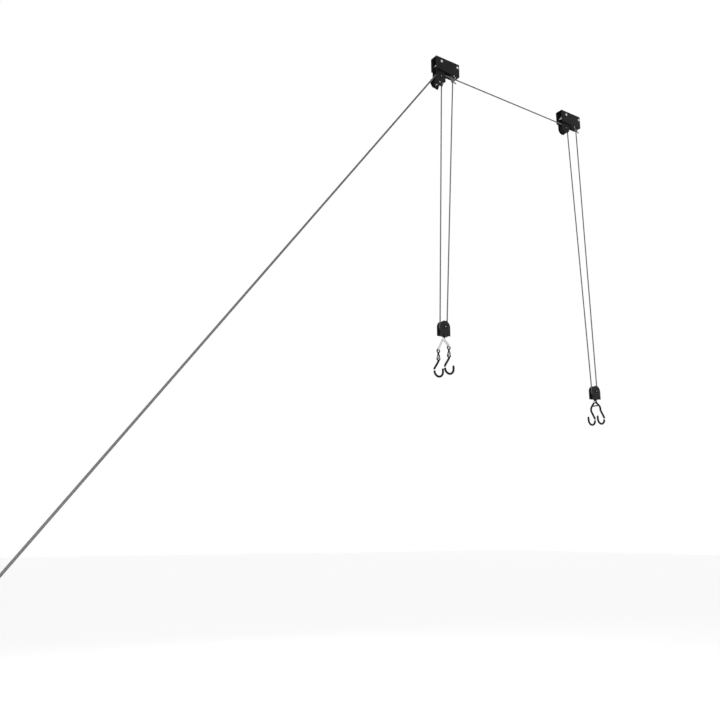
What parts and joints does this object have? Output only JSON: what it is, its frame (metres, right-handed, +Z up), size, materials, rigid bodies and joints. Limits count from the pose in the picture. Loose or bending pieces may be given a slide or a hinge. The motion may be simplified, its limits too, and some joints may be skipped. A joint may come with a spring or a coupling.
{
  "type": "bike ceiling hoist",
  "caption": "Ceiling hoist for a bicycle: folded steel brackets with rope sheaves and a rope lock, pulley blocks on doubled rope falls, coated hooks and a wall cleat.",
  "frame": {"origin": "centre of the front bracket's ceiling face", "axes": "+Z up into the ceiling, +X from the front bracket to the rear one, +Y to the side that is away from the viewer in the picture"},
  "size_m": [2.3576, 0.0768, 2.115],
  "materials": {
    "powder_coated_steel": "black powder coat with a fine grain, satin",
    "zinc_steel": "bright zinc plate, slightly clouded",
    "sheave_plastic": "moulded black nylon, satin",
    "block_plastic": "moulded black plastic with a fine grain",
    "coated_steel": "steel rod dipped in soft black rubber, matt",
    "rope": "grey braided polyester rope"
  },
  "bodies": {
    "root": {"front_bracket": "powder_coated_steel", "front_cross_bolts": "zinc_steel", "front_cross_nuts": "zinc_steel", "front_spacers": "zinc_steel", "front_guide_pin": "zinc_steel", "front_cheek_near": "powder_coated_steel", "front_cheek_far": "powder_coated_steel", "front_axle": "zinc_steel", "lock_housing": "powder_coated_steel", "lock_rivets": "zinc_steel", "lock_cam_pin": "zinc_steel", "lock_stop_pin": "zinc_steel", "lock_spring": "zinc_steel", "rear_bracket": "powder_coated_steel", "rear_cross_bolts": "zinc_steel", "rear_cross_nuts": "zinc_steel", "rear_spacers": "zinc_steel", "rear_guide_pin": "zinc_steel", "rear_cheek_near": "powder_coated_steel", "rear_cheek_far": "powder_coated_steel", "rear_axle": "zinc_steel", "rear_axle_spacer": "zinc_steel", "front_knot": "rope", "rear_knot": "rope", "front_rope_turn": "rope", "cross_rope": "rope", "pull_rope": "rope", "front_falls": "rope", "rear_falls": "rope", "wall_cleat": "zinc_steel"},
    "front_sheave_near": {"front_sheave_near": "sheave_plastic"},
    "front_sheave_far": {"front_sheave_far": "sheave_plastic"},
    "rear_sheave": {"rear_sheave": "sheave_plastic"},
    "lock_cam": {"lock_cam": "zinc_steel"},
    "front_block": {"front_block_cheeks": "block_plastic", "front_block_axle": "zinc_steel", "front_block_washers": "zinc_steel", "front_block_rope_turn": "rope", "front_hanger": "powder_coated_steel", "front_hanger_rivets": "zinc_steel"},
    "front_block_sheave": {"front_block_sheave": "sheave_plastic"},
    "front_swivel": {"front_swivel": "powder_coated_steel", "front_spreader_rivet": "zinc_steel"},
    "front_spreader": {"front_spreader": "zinc_steel"},
    "front_link_far": {"front_link_far": "coated_steel"},
    "front_link_near": {"front_link_near": "coated_steel"},
    "front_hook_far": {"front_hook_far": "coated_steel"},
    "front_hook_near": {"front_hook_near": "coated_steel"},
    "rear_block": {"rear_block_cheeks": "block_plastic", "rear_block_axle": "zinc_steel", "rear_block_washers": "zinc_steel", "rear_block_rope_turn": "rope", "rear_hanger": "powder_coated_steel", "rear_hanger_rivets": "zinc_steel"},
    "rear_block_sheave": {"rear_block_sheave": "sheave_plastic"},
    "rear_swivel": {"rear_swivel": "powder_coated_steel", "rear_hook_rivet": "zinc_steel"},
    "rear_hooks": {"rear_hook_far": "coated_steel", "rear_hook_near": "coated_steel"}
  },
  "joints": [
    {"name": "front_lift", "type": "slide", "parent": "root", "child": "front_block", "axis": [0.0481, 0, 0.9988], "range_m": [0, 0.9], "deforming": ["front_falls"]},
    {"name": "rear_lift", "type": "slide", "parent": "root", "child": "rear_block", "axis": [-0.0286, 0, 0.9996], "range_m": [0, 0.9], "deforming": ["rear_falls"]},
    {"name": "front_sheave_near_turn", "type": "hinge", "parent": "root", "child": "front_sheave_near", "pos_m": [-0.0333, -0.0052, -0.0819], "axis": [0, 1, 0], "range_deg": [-6251, 0]},
    {"name": "front_sheave_far_turn", "type": "hinge", "parent": "root", "child": "front_sheave_far", "pos_m": [-0.0333, 0.0052, -0.0819], "axis": [0, 1, 0], "range_deg": [-6251, 0]},
    {"name": "rear_sheave_turn", "type": "hinge", "parent": "root", "child": "rear_sheave", "pos_m": [0.6867, -0.0052, -0.0819], "axis": [0, 1, 0], "range_deg": [-6251, 0]},
    {"name": "front_block_sheave_turn", "type": "hinge", "parent": "front_block", "child": "front_block_sheave", "pos_m": [-0.0375, 0.0052, -1.113], "axis": [0, 1, 0], "range_deg": [0, 3126]},
    {"name": "rear_block_sheave_turn", "type": "hinge", "parent": "rear_block", "child": "rear_block_sheave", "pos_m": [0.7665, -0.0052, -1.273], "axis": [0, 1, 0], "range_deg": [0, 3126]},
    {"name": "lock_cam_tilt", "type": "hinge", "parent": "root", "child": "lock_cam", "pos_m": [-0.0418, 0, -0.1114], "axis": [0, -1, 0], "range_deg": [0, 25], "stiffness_Nm_per_rad": 0.02, "springref_deg": -20.05},
    {"name": "front_swivel_turn", "type": "hinge", "parent": "front_block", "child": "front_swivel", "pos_m": [-0.0375, 0.0052, -1.1425], "axis": [0, 0, 1], "continuous": true},
    {"name": "front_spreader_rock", "type": "hinge", "parent": "front_swivel", "child": "front_spreader", "pos_m": [-0.0375, 0.0052, -1.1565], "axis": [1, 0, 0], "range_deg": [-25, 25]},
    {"name": "front_link_far_swing", "type": "hinge", "parent": "front_spreader", "child": "front_link_far", "pos_m": [-0.0403, 0.0352, -1.1905], "axis": [1, 0, 0], "range_deg": [-10, 35]},
    {"name": "front_link_near_swing", "type": "hinge", "parent": "front_spreader", "child": "front_link_near", "pos_m": [-0.0403, -0.0248, -1.1905], "axis": [-1, 0, 0], "range_deg": [-10, 35]},
    {"name": "front_hook_far_swing", "type": "hinge", "parent": "front_link_far", "child": "front_hook_far", "pos_m": [-0.0403, 0.0352, -1.2253], "axis": [0, 1, 0], "range_deg": [-35, 35]},
    {"name": "front_hook_near_swing", "type": "hinge", "parent": "front_link_near", "child": "front_hook_near", "pos_m": [-0.0403, -0.0248, -1.2253], "axis": [0, 1, 0], "range_deg": [-35, 35]},
    {"name": "rear_swivel_turn", "type": "hinge", "parent": "rear_block", "child": "rear_swivel", "pos_m": [0.7665, -0.0052, -1.3025], "axis": [0, 0, 1], "continuous": true},
    {"name": "rear_hooks_rock", "type": "hinge", "parent": "rear_swivel", "child": "rear_hooks", "pos_m": [0.7665, -0.0052, -1.3165], "axis": [1, 0, 0], "range_deg": [-25, 25]}
  ],
  "couplings": [
    {"joint": "rear_lift", "follows": "front_lift", "ratio": 1},
    {"joint": "front_sheave_near_turn", "follows": "front_lift", "rad_per_m": -121.21},
    {"joint": "front_sheave_far_turn", "follows": "front_lift", "rad_per_m": -121.21},
    {"joint": "rear_sheave_turn", "follows": "front_lift", "rad_per_m": -121.21},
    {"joint": "front_block_sheave_turn", "follows": "front_lift", "rad_per_m": 60.606},
    {"joint": "rear_block_sheave_turn", "follows": "front_lift", "rad_per_m": 60.606}
  ]
}
